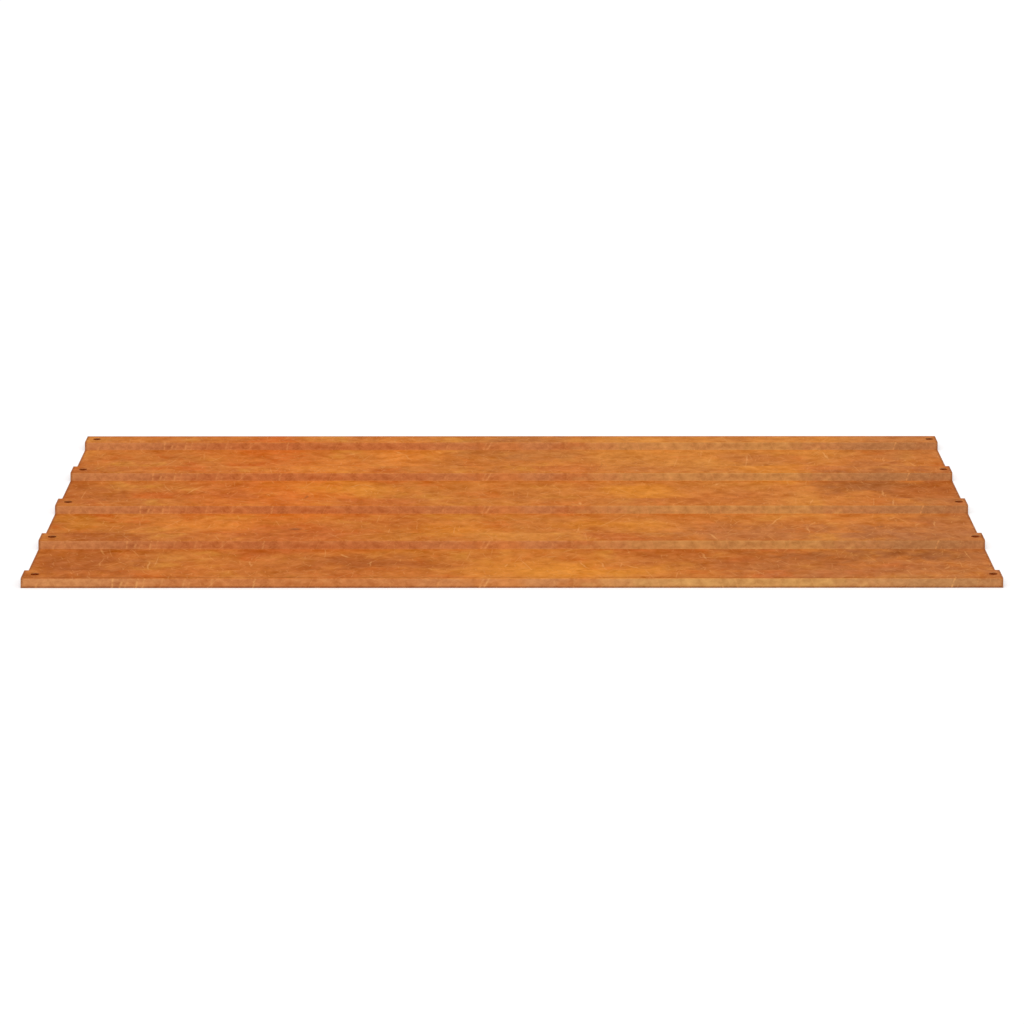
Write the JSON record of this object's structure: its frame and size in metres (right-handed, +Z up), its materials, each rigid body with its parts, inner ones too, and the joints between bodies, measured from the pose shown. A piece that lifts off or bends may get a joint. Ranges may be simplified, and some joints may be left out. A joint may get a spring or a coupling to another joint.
{
  "type": "ribbed steel roofing sheet",
  "caption": "Rust-coloured steel roofing sheet with flat valleys, narrow raised ribs and screw holes through the rib crests near both ends.",
  "frame": {"origin": "middle of the sheet's footprint, on the floor that its valleys lie on", "axes": "+X along the ribs towards the end with the smaller hole margin, +Y across the ribs, +Z up out of the rib crests"},
  "size_m": [0.6, 0.36, 0.0059],
  "materials": {
    "rusted_steel": "matt rust skin in soft patches of orange, amber and brown, with fine scratches"
  },
  "bodies": {
    "root": {"ribbed_sheet": "rusted_steel"}
  },
  "joints": []
}
